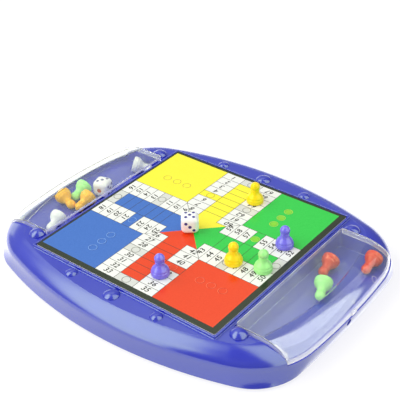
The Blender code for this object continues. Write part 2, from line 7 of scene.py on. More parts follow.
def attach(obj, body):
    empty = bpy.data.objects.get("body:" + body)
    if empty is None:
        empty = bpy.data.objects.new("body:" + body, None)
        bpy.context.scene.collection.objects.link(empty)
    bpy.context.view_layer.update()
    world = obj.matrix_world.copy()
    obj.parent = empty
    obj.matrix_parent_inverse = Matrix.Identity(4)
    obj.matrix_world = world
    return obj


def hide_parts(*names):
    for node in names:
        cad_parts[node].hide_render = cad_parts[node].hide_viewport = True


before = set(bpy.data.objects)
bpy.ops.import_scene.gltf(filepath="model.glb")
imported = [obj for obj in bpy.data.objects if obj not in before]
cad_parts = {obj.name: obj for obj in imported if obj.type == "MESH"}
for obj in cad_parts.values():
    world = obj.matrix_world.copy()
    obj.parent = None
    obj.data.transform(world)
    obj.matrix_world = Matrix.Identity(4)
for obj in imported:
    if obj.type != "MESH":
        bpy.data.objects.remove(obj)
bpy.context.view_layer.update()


# Case shell. The real piece is one thin injection moulding in glossy blue-violet plastic: a bowed
# outline, a rounded shoulder, a flat bezel with low domes, a ridge round the board and two open
# compartments. Six screws hold it on the bottom cover.
QUARTER = math.pi / 2
OVERRUN = 0.006
GAP = 0.0003
WALL = 0.0020
BASE_Z = 0.0015
COVER_Z = 0.0039
TRAY_Z = 0.0092
RIM_Z = 0.0145
LEDGE_Z = 0.0142
BEZEL_Z = 0.0249
CARD_Z = 0.0270
RIDGE_TOP_Z = 0.0272
CARD_SIDE = 0.1720
RECESS_HALF = 0.0867
RIDGE_HALF = 0.0880
RIDGE_CORNER = 0.0012
RIDGE_FOOT = 0.0005
RIDGE_EASE = 0.0004
TRAY_X = 0.0897
TRAY_HALF = 0.0705
TRAY_CORNER = 0.0030
TRAY_FILLET = 0.0007
TRAY_FLOOR = 0.0018
EDGE_FILLET = 0.0005
EDGE_ROUND = 0.0008
RECESS_Z = CARD_Z - 0.0018
RECESS_CORNER = 0.0016
CREASE_HALF = (0.1250, 0.1028)
RIM_HALF = (0.1436, 0.1146)
BASE_HALF = (0.1406, 0.1154)
CREASE_ARCS = (0.280, 0.215, 0.027)
RIM_ARCS = (0.320, 0.560, 0.058)
BASE_ARCS = (0.344, 1.100, 0.042)
SHOULDER_START = math.radians(14)
BEAD_WIDTH, BEAD_HEIGHT = 0.0005, 0.00009
DIMPLE_RADIUS, DIMPLE_DEPTH = 0.0026, 0.0016
DIMPLE_Y, DIMPLE_Z = -0.0055, 0.0112
# Each dome's place, radius and height, on the front bezel and on the rear one.
DOMES = ((0.0, 0.0946, 0.0064, 0.0024), (0.0412, 0.0935, 0.0048, 0.0020), (-0.0412, 0.0935, 0.0048, 0.0020))
BOSS_RADIUS, BOSS_HEIGHT = 0.0066, 0.0038
POST_RADIUS, POST_DEPTH = 0.0050, 0.0070
PIN_X, PIN_Z = 0.0947, 0.0260
PIN_HOLE_RADIUS, PIN_HOLE_DEPTH = 0.0013, 0.0033
SCREW_BOSS_RADIUS, PILOT_RADIUS, PILOT_TOP_Z = 0.0036, 0.00145, 0.0122
BOSS_PLACES = [(sx * 0.0976, sy * 0.0739) for sx in (1, -1) for sy in (1, -1)]
SCREW_PLACES = [(sx * 0.1045, sy * 0.0823) for sx in (1, -1) for sy in (1, -1)] + [(0, 0.0938), (0, -0.0938)]


def only(*things):
    """Select these objects alone, and make the first one active."""
    bpy.ops.object.select_all(action="DESELECT")
    for thing in things:
        thing.select_set(True)
    bpy.context.view_layer.objects.active = things[0]


def fresh(add, **settings):
    """Add a primitive, lamp or camera with nothing else selected."""
    bpy.ops.object.select_all(action="DESELECT")
    add(**settings)
    return bpy.context.object


def modified(thing, kind, **settings):
    """Finish a piece with a modifier, which is applied."""
    only(thing)
    bpy.ops.object.modifier_add(type=kind)
    step = thing.modifiers[-1]
    for name, value in settings.items():
        setattr(step, name, value)
    bpy.ops.object.modifier_apply(modifier=step.name)


def discard(thing):
    bpy.data.objects.remove(thing, do_unlink=True)


def about(angle, axis):
    """A turn about an axis of the frame."""
    return Matrix.Rotation(angle, 4, axis)


def at(x, y, z):
    """A place in the frame."""
    return Matrix.Translation((x, y, z))


def placed(thing, matrix):
    """Move a finished piece by its mesh, so that its object stays at the origin."""
    thing.data.transform(matrix)
    thing.data.update()
    return thing


def settle(thing):
    """Take over an object's place, turn and size in its mesh."""
    only(thing)
    bpy.ops.object.transform_apply(location=True, rotation=True, scale=True)
    return thing


def outward(thing):
    """Turn all faces of a closed piece outwards."""
    only(thing)
    bpy.ops.object.mode_set(mode="EDIT")
    bpy.ops.mesh.select_all(action="SELECT")
    bpy.ops.mesh.normals_make_consistent(inside=False)
    bpy.ops.object.mode_set(mode="OBJECT")
    return thing


def loft(name, rings):
    """Pull a circle out ring by ring, lay each ring on its outline, and close both ends."""
    piece = fresh(bpy.ops.mesh.primitive_circle_add, vertices=len(rings[0]))
    piece.name = name
    bpy.ops.object.mode_set(mode="EDIT")
    bpy.ops.mesh.select_all(action="SELECT")
    bpy.ops.mesh.edge_face_add()
    for _ in rings[1:]:
        bpy.ops.mesh.extrude_edges_move()
    bpy.ops.mesh.edge_face_add()
    bpy.ops.object.mode_set(mode="OBJECT")
    spots = [value for ring in rings for point in ring for value in point]
    piece.data.vertices.foreach_set("co", spots)
    piece.matrix_world = Matrix.Identity(4)
    return outward(piece)


def boolean(target, tool, operation="DIFFERENCE", keep_paint=False):
    """Cut, join or cross a piece with a tool, and take the tool away."""
    paint_from = "TRANSFER" if keep_paint else "INDEX"
    modified(target, "BOOLEAN", operation=operation, object=tool, solver="EXACT", material_mode=paint_from)
    discard(tool)


def cylinder(radius, low, high, place=(0, 0), steps=48):
    """Upright round tool between two heights."""
    turns = [math.tau * step / steps for step in range(steps)]
    ring = [(place[0] + radius * math.cos(turn), place[1] + radius * math.sin(turn)) for turn in turns]
    return loft("round_tool", [[(x, y, z) for x, y in ring] for z in (low, high)])


def arc_points(centre, radius, start, end, steps):
    turns = [start + (end - start) * step / steps for step in range(steps)]
    return [(centre.x + radius * math.cos(turn), centre.y + radius * math.sin(turn)) for turn in turns]


def barrel(halves, arcs, inset=0.0, steps=(14, 22, 12)):
    """Bowed outline from a front arc, a corner arc and a side arc that meet smoothly."""
    half_x, half_y = (half - inset for half in halves)
    front_radius, side_radius, corner_radius = (radius - inset for radius in arcs)
    front = Vector((0, half_y - front_radius))
    side = Vector((half_x - side_radius, 0))
    span = side - front
    to_front = front_radius - corner_radius
    to_side = side_radius - corner_radius
    along = (to_front ** 2 - to_side ** 2 + span.length_squared) / (2 * span.length)
    across = math.sqrt(to_front ** 2 - along ** 2)
    unit = span.normalized()
    normal = Vector((-unit.y, unit.x))
    corner = max((front + unit * along + normal * reach for reach in (across, -across)), key=sum)
    front_turn = math.atan2(corner.y - front.y, corner.x - front.x)
    side_turn = math.atan2(corner.y - side.y, corner.x - side.x)
    quarter = arc_points(front, front_radius, QUARTER, front_turn, steps[0])
    quarter += arc_points(corner, corner_radius, front_turn, side_turn, steps[1])
    quarter += arc_points(side, side_radius, side_turn, 0, steps[2])
    mirrored = [(half_x, 0)] + quarter[:0:-1]
    return (quarter + [(x, -y) for x, y in mirrored] + [(-x, -y) for x, y in quarter]
            + [(-x, y) for x, y in mirrored])


def crease(inset=0.0):
    return barrel(CREASE_HALF, CREASE_ARCS, inset)


def rim(inset=0.0):
    return barrel(RIM_HALF, RIM_ARCS, inset)


def base(inset=0.0):
    return barrel(BASE_HALF, BASE_ARCS, inset)


def mixed(first, second, share):
    return [(x0 + (x1 - x0) * share, y0 + (y1 - y0) * share) for (x0, y0), (x1, y1) in zip(first, second)]


def raised(points, z):
    return [(x, y, z) for x, y in points]


def wall_bulge(share):
    """How far the side wall has come out from the base outline to the rim, from 0 to 1."""
    return 1 - (1 - share) ** 1.85


def wall_line(inset, share):
    """Outline of the side wall at a share of its height."""
    return mixed(base(inset), rim(inset), wall_bulge(share))


def wall_rings(inset, low, steps):
    shares = [step / steps for step in range(steps)]
    return [raised(wall_line(inset, share), low + (RIM_Z - low) * share) for share in shares]


def oval_shares(start, steps):
    """Quarter of an oval that starts with a slope: shares of the way out and of the height left."""
    turns = [start + (QUARTER - start) * step / steps for step in range(steps + 1)]
    return [((math.sin(turn) - math.sin(start)) / (1 - math.sin(start)), math.cos(turn) / math.cos(start))
            for turn in turns]


def shoulder_rings(inset, steps):
    return [raised(mixed(crease(inset), rim(inset), out), RIM_Z + (BEZEL_Z - inset - RIM_Z) * up)
            for out, up in reversed(oval_shares(SHOULDER_START, steps))]


def crease_bead():
    """A hair-fine bead along the crease, left by the mould's parting."""
    return [raised(crease(inset), BEZEL_Z + rise) for inset, rise in
            ((BEAD_WIDTH * 0.3, BEAD_HEIGHT), (BEAD_WIDTH * 0.7, BEAD_HEIGHT), (BEAD_WIDTH, 0.0))]


def rounded_box_outline(low, high, radius, grow=0.0, steps=6):
    """Plan of a box with round corners."""
    reach = max(radius + grow, 0.0001)
    corners = ((high[0] - radius, high[1] - radius), (low[0] + radius, high[1] - radius),
               (low[0] + radius, low[1] + radius), (high[0] - radius, low[1] + radius))
    points = []
    for quarter, (x, y) in enumerate(corners):
        for step in range(steps + 1):
            turn = QUARTER * (quarter + step / steps)
            points.append((x + reach * math.cos(turn), y + reach * math.sin(turn)))
    return points


def square_outline(half, radius):
    return rounded_box_outline((-half, -half), (half, half), radius)


def foot_rings(plan, z, size, turns):
    """Rings of a quarter round that starts at a height: plan(grow) gives the outline."""
    return [raised(plan(size * (1 - math.sin(turn))), z + abs(size) * (1 - math.cos(turn))) for turn in turns]


def ease_rings(plan, z, size):
    """Rings of a quarter-round edge that ends at a height."""
    turns = [QUARTER * step / 4 for step in range(5)]
    return [raised(plan(size * (1 - math.cos(turn))), z - abs(size) * (1 - math.sin(turn))) for turn in turns]


def finish_smooth(thing, degrees=32, is_sharp=None):
    """Smooth shading that leaves true edges sharp and flat areas flat."""
    only(thing)
    bpy.ops.object.shade_smooth_by_angle(angle=math.radians(degrees))
    if is_sharp is not None:
        marked = [is_sharp(vertex.co) for vertex in thing.data.vertices]
        for edge in thing.data.edges:
            if all(marked[index] for index in edge.vertices):
                edge.use_edge_sharp = True
    modified(thing, "WEIGHTED_NORMAL", keep_sharp=True)


def half_turned(make):
    """The same tool for the right compartment and, turned half round, for the left one."""
    return [placed(make(), about(turn, "Z")) for turn in (0, math.pi)]


def dome(radius, height, place):
    thing = fresh(bpy.ops.mesh.primitive_uv_sphere_add, segments=48, ring_count=20, radius=radius)
    thing.scale = (1, 1, height / radius)
    thing.location = (place[0], place[1], BEZEL_Z)
    return settle(thing)


def compartment():
    """Space of a compartment, with a floor fillet, an eased top edge and the ledge for the lid."""
    top = BEZEL_Z + 2 * OVERRUN
    share = (TRAY_Z - BASE_Z) / (RIM_Z - BASE_Z)
    inner, small = wall_line(WALL, share), wall_line(WALL + TRAY_FILLET, share)
    rings = [raised(small, TRAY_Z), raised(mixed(small, inner, 0.7), TRAY_Z + TRAY_FILLET * 0.3)]
    rings += [raised(inner, TRAY_Z + TRAY_FILLET), raised(rim(WALL), LEDGE_Z - EDGE_FILLET / 2)]
    rings += [raised(rim(WALL - EDGE_FILLET / 2), LEDGE_Z)]
    rings += [raised(rim(-OVERRUN), LEDGE_Z), raised(rim(-OVERRUN), top)]
    space = loft("compartment_space", rings)
    low = (TRAY_X, -TRAY_HALF)
    high = (RIM_HALF[0] + 2 * OVERRUN, TRAY_HALF)

    def plan(grow):
        return rounded_box_outline(low, high, TRAY_CORNER, grow)

    rings = [raised(plan(-TRAY_FILLET), TRAY_Z - 0.0002)]
    turns = (0, math.pi / 8, math.pi / 4, 3 * math.pi / 8, QUARTER)
    rings += foot_rings(plan, TRAY_Z, -TRAY_FILLET, turns) + ease_rings(plan, BEZEL_Z, EDGE_FILLET)
    rings.append(raised(plan(EDGE_FILLET), top + OVERRUN))
    boolean(space, loft("compartment_limits", rings), "INTERSECT")
    return space


def wall_dimple():
    """Blind round dimple in the outer wall under the lid's rim."""
    thing = cylinder(DIMPLE_RADIUS, RIM_HALF[0] - DIMPLE_DEPTH, RIM_HALF[0] + OVERRUN)
    return placed(thing, at(0, DIMPLE_Y, DIMPLE_Z) @ about(QUARTER, "Y"))


def hollow():
    """Inside of the shell, round the compartments, the hinge posts and the screw bosses."""
    space = loft("hollow", [raised(base(WALL), BASE_Z - OVERRUN)] + wall_rings(WALL, COVER_Z, 3)
                 + shoulder_rings(WALL, 5))
    top = BEZEL_Z + OVERRUN
    for turn in (0, math.pi):
        plan = rounded_box_outline((TRAY_X - WALL, -TRAY_HALF - WALL),
                                   (RIM_HALF[0] + OVERRUN, TRAY_HALF + WALL), TRAY_CORNER)
        block = loft("block", [raised(plan, TRAY_Z - TRAY_FLOOR), raised(plan, top)])
        boolean(space, placed(block, about(turn, "Z")))
    for place in BOSS_PLACES:
        boolean(space, cylinder(POST_RADIUS, BEZEL_Z - POST_DEPTH, top, place, 24))
    for place in SCREW_PLACES:
        boolean(space, cylinder(SCREW_BOSS_RADIUS, COVER_Z + GAP, top, place, 24))
    return space


shell_rings = foot_rings(base, BASE_Z, EDGE_ROUND, (0, math.pi / 6, math.pi / 3))
shell_rings += wall_rings(0, BASE_Z + EDGE_ROUND, 8) + shoulder_rings(0, 16) + crease_bead()
shell = loft("case_shell", shell_rings)


def ridge_plan(grow):
    return square_outline(RIDGE_HALF + grow, RIDGE_CORNER + max(grow, 0.0))


ridge_rings = [raised(ridge_plan(RIDGE_FOOT), BEZEL_Z - RIDGE_FOOT)]
ridge_rings += foot_rings(ridge_plan, BEZEL_Z, RIDGE_FOOT, [QUARTER * step / 5 for step in range(6)])
ridge_rings += ease_rings(ridge_plan, RIDGE_TOP_Z, -RIDGE_EASE)
boolean(shell, loft("ridge", ridge_rings), "UNION")
for x, y, radius, height in DOMES:
    for sy in (1, -1):
        boolean(shell, dome(radius, height, (x, sy * y)), "UNION")
for place in BOSS_PLACES:
    boolean(shell, dome(BOSS_RADIUS, BOSS_HEIGHT, place), "UNION")
boolean(shell, hollow())


def recess_plan(grow):
    return square_outline(RECESS_HALF + grow, RECESS_CORNER)


recess_rings = [raised(recess_plan(0), RECESS_Z)] + ease_rings(recess_plan, RIDGE_TOP_Z, GAP)
boolean(shell, loft("recess", recess_rings + [raised(recess_plan(GAP), RIDGE_TOP_Z + OVERRUN)]))
for tool in half_turned(compartment) + half_turned(wall_dimple):
    boolean(shell, tool)
for x, y in BOSS_PLACES:
    sy = math.copysign(1, y)
    hole = cylinder(PIN_HOLE_RADIUS, -WALL / 2, PIN_HOLE_DEPTH, steps=24)
    turn = about(-sy * QUARTER, "X")
    where = at(math.copysign(PIN_X, x), sy * TRAY_HALF, PIN_Z)
    boolean(shell, placed(hole, where @ turn))
for place in SCREW_PLACES:
    boolean(shell, cylinder(PILOT_RADIUS, BASE_Z - OVERRUN, PILOT_TOP_Z, place, 20))
crease_spots = {(round(x, 5), round(y, 5)) for x, y in crease()}


def on_crease(co):
    return abs(co.z - BEZEL_Z) < 0.00001 and (round(co.x, 5), round(co.y, 5)) in crease_spots


finish_smooth(shell, is_sharp=on_crease)


def effect_group(name, inputs, outputs):
    """An empty shader group with named sockets."""
    group = bpy.data.node_groups.new(name, "ShaderNodeTree")
    for socket, default in inputs:
        made = group.interface.new_socket(name=socket, in_out="INPUT", socket_type="NodeSocketFloat")
        made.default_value = default
    for socket, kind in outputs:
        group.interface.new_socket(name=socket, in_out="OUTPUT", socket_type=kind)
    return group, group.nodes.new("NodeGroupInput"), group.nodes.new("NodeGroupOutput")


def feed(socket, value):
    """Give an input a value, or join it to another node's output."""
    if isinstance(value, bpy.types.NodeSocket):
        socket.id_data.links.new(value, socket)
    else:
        socket.default_value = value


def set_inputs(made, **values):
    for name, value in values.items():
        feed(made.inputs[name.replace("_", " ")], value)


def node(tree, kind, **values):
    """Add a node and set its plain properties, and after in_ its inputs, by name."""
    made = tree.nodes.new(kind)
    for name, value in values.items():
        if name.startswith("in_"):
            set_inputs(made, **{name[3:]: value})
        else:
            setattr(made, name, value)
    return made


def math_node(tree, operation, first, second):
    made = node(tree, "ShaderNodeMath", operation=operation)
    feed(made.inputs[0], first)
    feed(made.inputs[1], second)
    return made.outputs[0]


# Moulded surface: the faint unevenness, flow marks and handling haze of injection moulded plastic.
moulded, moulded_in, moulded_out = effect_group(
    "MouldedSurface", (("Wave Scale", 60.0), ("Grain Scale", 2500.0), ("Roughness", 0.2), ("Haze", 0.06)),
    (("Roughness", "NodeSocketFloat"), ("Height", "NodeSocketFloat"), ("Shade", "NodeSocketFloat")))
place_of = node(moulded, "ShaderNodeTexCoord").outputs["Object"]
wave, grain = (node(moulded, "ShaderNodeTexNoise", in_Vector=place_of, in_Scale=moulded_in.outputs[scale],
                    in_Detail=detail).outputs["Fac"]
               for scale, detail in (("Wave Scale", 2.0), ("Grain Scale", 1.0)))
haze = math_node(moulded, "MULTIPLY", math_node(moulded, "SUBTRACT", wave, 0.5), moulded_in.outputs["Haze"])
set_inputs(moulded_out, Roughness=math_node(moulded, "ADD", haze, moulded_in.outputs["Roughness"]),
           Height=math_node(moulded, "ADD", wave, math_node(moulded, "MULTIPLY", grain, 0.12)), Shade=wave)


def srgb(red, green, blue):
    """A colour as seen on a screen, 0 to 255, in the linear values that a shader takes."""
    shares = (value / 255 for value in (red, green, blue))
    return tuple(s / 12.92 if s <= 0.04045 else ((s + 0.055) / 1.055) ** 2.4 for s in shares) + (1.0,)


def new_material(name):
    """A material with its node tree and its shader."""
    material = bpy.data.materials.new(name)
    material.use_nodes = True
    return material, material.node_tree, material.node_tree.nodes["Principled BSDF"]


def two_tones(tree, shader, mask, first, second):
    """Blend two close tones, as seen on a screen, into the shader's colour."""
    tone = node(tree, "ShaderNodeMix", data_type="RGBA", in_Factor=mask, in_A=srgb(*first),
                in_B=srgb(*second))
    set_inputs(shader, Base_Color=tone.outputs["Result"])


def moulded_surface(tree, shader, **values):
    """Place the moulded surface in a material, where it sets the roughness."""
    surface = node(tree, "ShaderNodeGroup", node_tree=moulded, **values)
    set_inputs(shader, Roughness=surface.outputs["Roughness"])
    return surface


def moulded_plastic(name, deep, pale, roughness, haze=0.05, bump=0.00002, wave_scale=60.0, gloss=1.5):
    """Glossy moulded plastic: two close tones, an uneven gloss and a very fine surface."""
    material, tree, shader = new_material(name)
    surface = moulded_surface(tree, shader, in_Roughness=roughness, in_Haze=haze, in_Wave_Scale=wave_scale)
    two_tones(tree, shader, surface.outputs["Shade"], deep, pale)
    relief = node(tree, "ShaderNodeBump", in_Strength=0.25, in_Distance=bump,
                  in_Height=surface.outputs["Height"])
    set_inputs(shader, IOR=gloss, Specular_Tint=(0.88, 1.0, 0.62, 1.0), Normal=relief.outputs["Normal"])
    return material


def paint(thing, *materials):
    """Give a piece its materials, the first one all over unless faces say otherwise."""
    thing.data.materials.clear()
    for material in materials:
        thing.data.materials.append(material)


case_blue = moulded_plastic("case_blue", (43, 49, 178), (51, 57, 186), 0.17, gloss=1.75)
paint(shell, case_blue)
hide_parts("top_case")
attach(shell, "case")


# Bottom cover. A flat moulding in the same plastic with a matt underside, sunk into the shell's
# open side, with four round feet and six counterbored holes. The CAD solid has its shape.
cover_blue = moulded_plastic("cover_blue", (58, 56, 172), (66, 64, 184), 0.42, 0.1, 0.00005, 90.0)
for material_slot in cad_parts["bottom_cover"].material_slots:
    material_slot.material = cover_blue


# Case screws. Six zinc-plated pan-head screws with a cross recess go up through the cover into
# the shell's bosses; one is modelled and copied.
def spun(name, profile, steps):
    """Draw a profile of radius and height point by point, and spin it about the upright axis."""
    piece = fresh(bpy.ops.mesh.primitive_plane_add, size=0.001)
    piece.name = name
    bpy.ops.object.mode_set(mode="EDIT")
    bpy.ops.mesh.select_all(action="SELECT")
    bpy.ops.mesh.merge(type="CENTER")
    bpy.ops.transform.translate(value=(profile[0][0], 0, profile[0][1]))
    for before, after in zip(profile, profile[1:]):
        step = (after[0] - before[0], 0, after[1] - before[1])
        bpy.ops.mesh.extrude_vertices_move(TRANSFORM_OT_translate={"value": step})
    bpy.ops.mesh.select_all(action="SELECT")
    bpy.ops.mesh.spin(steps=steps, angle=math.tau, center=(0, 0, 0), axis=(0, 0, 1))
    bpy.ops.mesh.select_all(action="SELECT")
    bpy.ops.mesh.remove_doubles(threshold=0.000002)
    bpy.ops.mesh.normals_make_consistent(inside=False)
    bpy.ops.object.mode_set(mode="OBJECT")
    return piece


def round_profile(centre, radius_x, radius_z, start, end, steps):
    """Part of a round in a profile, in degrees up from the level line."""
    turns = [math.radians(start + (end - start) * step / steps) for step in range(steps + 1)]
    return [(centre[0] + radius_x * math.cos(turn), centre[1] + radius_z * math.sin(turn)) for turn in turns]


def copy_of(thing, name):
    """A copy of a finished piece with its own mesh."""
    twin = thing.copy()
    twin.data = thing.data.copy()
    twin.name = name
    bpy.context.scene.collection.objects.link(twin)
    return twin


SCREW_SEAT = 0.0026
HEAD_ROUND, HEAD_FLAT = 0.0005, 0.0020
THREAD_RADIUS, THREAD_CORE, THREAD_PITCH = 0.00115, 0.00090, 0.0008
RECESS_CUT = (0.0026, 0.0005, 0.0012)
profile = [(0.0, BASE_Z), (HEAD_FLAT, BASE_Z)]
profile += round_profile((HEAD_FLAT, BASE_Z + HEAD_ROUND), HEAD_ROUND, HEAD_ROUND, -90, 0, 4)[1:]
profile += [(HEAD_FLAT + HEAD_ROUND, SCREW_SEAT), (THREAD_RADIUS, SCREW_SEAT)]
for turn in range(9):
    low = SCREW_SEAT + THREAD_PITCH + turn * THREAD_PITCH
    profile += [(THREAD_CORE, low), (THREAD_RADIUS, low + 0.00035), (THREAD_RADIUS, low + 0.00045)]
profile += [(0.0006, SCREW_SEAT + 0.0088), (0.0, SCREW_SEAT + 0.0090)]
pattern = spun("case_screw", profile, 32)
for turn in (0, QUARTER):
    slot_tool = fresh(bpy.ops.mesh.primitive_cube_add, size=1.0)
    slot_tool.scale = RECESS_CUT
    slot_tool.location = (0, 0, BASE_Z)
    slot_tool.rotation_euler = (0, 0, turn)
    boolean(pattern, settle(slot_tool))
finish_smooth(pattern)
screw_steel, steel_tree, steel_shader = new_material("screw_steel_zinc")
set_inputs(steel_shader, Metallic=1.0)
steel_surface = moulded_surface(steel_tree, steel_shader, in_Roughness=0.32, in_Wave_Scale=900.0)
two_tones(steel_tree, steel_shader, steel_surface.outputs["Shade"], (168, 168, 164), (206, 206, 204))
paint(pattern, screw_steel)
for number, (x, y) in enumerate(SCREW_PLACES, 1):
    screw = placed(copy_of(pattern, f"screw_{number}"), at(x, y, 0))
    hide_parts(f"case_screw_{number}")
    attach(screw, "case")
discard(pattern)


# Board card. A square of printed and varnished card in the ridge: the race track has four coloured
# yards, arms of three lanes with numbered squares, and a square of four triangles in the middle.
# The print lies a little off the card's centre, so its dark border is wider in front and on the right.
CARD_THICKNESS, CARD_CORNER, CARD_EASE = 0.0015, 0.0012, 0.00015
PRINT_SIDES = (0.1650, 0.1640)
PRINT_SHIFT = (-0.0017, 0.0010)
TRACK_SHIFT = (0.0005, -0.0008)
INK = 0.00002
CENTRE_HALF_SHARE = 0.113
LANE_SHARES = (-0.167, -0.0555, 0.0555, 0.167)
YARD_CIRCLE_SHARES = (0.264, 0.3265, 0.389)
CELLS = 8
LINE_WIDTH = 0.00036
DIGIT_SIZE, DIGIT_WEIGHT = 0.0066, 0.00009
CIRCLE_RADIUS = 0.0033
CIRCLE_LINE = 0.00026
SPOT_SHARE = 0.80


def flat_finish(name, colour, speck, roughness=0.22):
    """Printed ink under clear varnish: an even colour with a very fine print speck."""
    material, tree, shader = new_material(name)
    place = node(tree, "ShaderNodeTexCoord").outputs["Object"]
    noise = node(tree, "ShaderNodeTexNoise", in_Vector=place, in_Scale=900.0, in_Detail=2.0)
    two_tones(tree, shader, noise.outputs["Fac"], colour, speck)
    wave = node(tree, "ShaderNodeTexNoise", in_Vector=place, in_Scale=70.0, in_Detail=1.0).outputs["Fac"]
    gloss = math_node(tree, "ADD", math_node(tree, "MULTIPLY", wave, 0.06), roughness - 0.03)
    relief = node(tree, "ShaderNodeBump", in_Strength=0.12, in_Distance=0.00003, in_Height=wave)
    set_inputs(shader, Roughness=gloss, Normal=relief.outputs["Normal"])
    return material


paper = flat_finish("card_paper", (226, 224, 212), (238, 236, 228), 0.6)
border_ink = flat_finish("print_border", (22, 32, 22), (32, 42, 30))
inks = {
    "white": flat_finish("print_white", (232, 234, 226), (242, 243, 237)),
    "grey": flat_finish("print_grey", (208, 210, 202), (220, 222, 214)),
    "red": flat_finish("print_red", (223, 54, 8), (233, 66, 18)),
    "green": flat_finish("print_green", (32, 192, 64), (46, 206, 78)),
    "yellow": flat_finish("print_yellow", (246, 234, 44), (252, 243, 64)),
    "blue": flat_finish("print_blue", (52, 102, 184), (66, 116, 198)),
    "lime": flat_finish("print_lime", (120, 200, 38), (140, 214, 56)),
}
line_ink = flat_finish("print_line", (44, 42, 36), (62, 60, 52))


def card_plan(grow):
    return square_outline(CARD_SIDE / 2 + grow, CARD_CORNER)


card_rings = [raised(card_plan(0), CARD_Z - CARD_THICKNESS)] + ease_rings(card_plan, CARD_Z, -CARD_EASE)
card = loft("board_card_print", card_rings)
finish_smooth(card, 40)
paint(card, paper, border_ink)
for face in card.data.polygons:
    face.material_index = int(face.normal.z > 0.3)


def merged(name, parts):
    """Join like parts into one piece."""
    only(*parts)
    bpy.ops.object.join()
    bpy.context.object.name = name
    return bpy.context.object


def print_sheet(name, patches, z, materials):
    """Print areas as one thin layer of ink: (corner points, index of the ink) for each area."""
    parts = []
    for points, ink in patches:
        part = fresh(bpy.ops.mesh.primitive_circle_add, vertices=len(points), fill_type="NGON")
        part.matrix_world = Matrix.Identity(4)
        part.data.vertices.foreach_set("co", [value for x, y in points for value in (x, y, z)])
        paint(part, *materials)
        part.data.polygons[0].material_index = ink
        part.data.update()
        parts.append(part)
    sheet = outward(merged(name, parts))
    if sheet.data.polygons[0].normal.z < 0:
        sheet.data.flip_normals()
    modified(sheet, "SOLIDIFY", thickness=INK, offset=1.0)
    return sheet


def on_board(points, quarter):
    """Shares of the print's side, turned a number of quarters, as places on the board."""
    turned = points
    for _ in range(quarter):
        turned = [(-y, x) for x, y in turned]
    return [tuple(share * side + shift + track * (1 - (2 * share) ** 4) for share, side, shift, track
                  in zip(point, PRINT_SIDES, PRINT_SHIFT, TRACK_SHIFT)) for point in turned]


def cell_corners(lane, row):
    """Corners of a square of the front arm, counted out from the middle of the board."""
    pitch = (0.5 - CENTRE_HALF_SHARE) / CELLS
    near = -CENTRE_HALF_SHARE - pitch * row
    far = near - pitch
    left, right = LANE_SHARES[lane], LANE_SHARES[lane + 1]
    if lane == 1:
        return [(left, far), (right, far), (right, near), (left, near)]
    outer, inner = (left, right) if lane == 0 else (right, left)
    side = math.copysign(1, outer)
    corners = [(inner, near), (inner, far), (outer, far)]
    if abs(far) < abs(outer):
        corners[2] = (side * abs(far), far)
    elif abs(near) < abs(outer):
        corners.append((outer, -abs(outer)))
    if abs(near) < abs(outer):
        corners.append((side * abs(near), near))
    else:
        corners.append((outer, near))
    return corners


ARM_INKS = ("red", "green", "yellow", "blue")
ink_names = list(inks)
patches = []
lines = []
numbers = []
circles = []
pitch = (0.5 - CENTRE_HALF_SHARE) / CELLS
outer_lane = LANE_SHARES[3]
for quarter, arm_ink in enumerate(ARM_INKS):
    colour = ink_names.index(arm_ink)
    white, grey = ink_names.index("white"), ink_names.index("grey")
    half = CENTRE_HALF_SHARE
    patches.append((on_board([(-half, -half), (half, -half), (0, 0)], quarter), colour))
    patches.append((on_board([(outer_lane, -0.5), (0.5, -0.5), (0.5, -outer_lane), (outer_lane, -outer_lane)],
                             quarter), colour))
    for lane in range(3):
        for row in range(CELLS):
            number = 26 + 17 * quarter + {0: row, 1: 8, 2: 16 - row}[lane]
            start = lane == 2 and row == 3
            safe = (lane == 0 and row == 3) or (lane == 1 and row == 7)
            home_run = lane == 1 and row < 7
            ink = colour if start or home_run else grey if safe else white
            patches.append((on_board(cell_corners(lane, row), quarter), ink))
            middle = ((LANE_SHARES[lane] + LANE_SHARES[lane + 1]) / 2, -half - pitch * (row + 0.5))
            if start or safe:
                circles.append((on_board([middle], quarter)[0], arm_ink if start else "grey"))
            elif not home_run:
                numbers.append(((number - 1) % 68 + 1, on_board([middle], quarter)[0], quarter))
            if row:
                near = -half - pitch * row
                left, right = LANE_SHARES[lane], LANE_SHARES[lane + 1]
                left, right = max(left, near), min(right, -near)
                lines.append(on_board([(left, near), (right, near)], quarter))
    for x in LANE_SHARES:
        top = -max(abs(x), half)
        lines.append(on_board([(x, -0.5), (x, top)], quarter))
    for sx in (1, -1):
        lines.append(on_board([(sx * LANE_SHARES[2], -half), (sx * half, -half)], quarter))
    lines.append(on_board([(half, -half), (outer_lane, -outer_lane)], quarter))
    for x in YARD_CIRCLE_SHARES:
        circles.append((on_board([(x, -half - pitch * 3.5)], quarter)[0], arm_ink))
fields = print_sheet("board_fields", patches, CARD_Z + INK / 2, list(inks.values()))


def stroke(points):
    """Corner points of a ruled line with square ends."""
    start, end = (Vector(point) for point in points)
    along = (end - start).normalized() * LINE_WIDTH / 2
    across = Vector((-along.y, along.x))
    ends = (start - along + across, start - along - across, end + along - across, end + along + across)
    return [(point.x, point.y) for point in ends]


rules = print_sheet("board_lines", [(stroke(line), 0) for line in lines], CARD_Z + 2 * INK, [line_ink])

